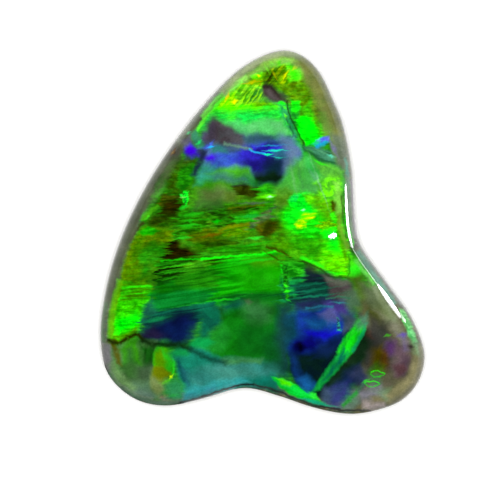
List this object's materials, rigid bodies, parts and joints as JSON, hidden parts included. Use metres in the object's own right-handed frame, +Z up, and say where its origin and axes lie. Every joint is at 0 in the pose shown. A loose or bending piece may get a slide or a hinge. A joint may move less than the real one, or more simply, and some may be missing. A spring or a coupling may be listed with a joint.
{
  "type": "polished free-form opal",
  "caption": "Polished free-form opal: a low domed stone with rounded edges, a narrow top, two lobes below and a flat back to lie on.",
  "frame": {"origin": "under the middle of the stone's box, on the surface that the flat back lies on", "axes": "+Z up out of the polished face, +Y along the length towards the narrow top, +X across towards the right lobe, seen from above"},
  "size_m": [0.0222, 0.025, 0.0047],
  "materials": {
    "opal": "high polish on dark opal with a green, blue and violet play of colour, fading to grey potch at the rim and back"
  },
  "bodies": {
    "root": {"opal": "opal"}
  },
  "joints": []
}
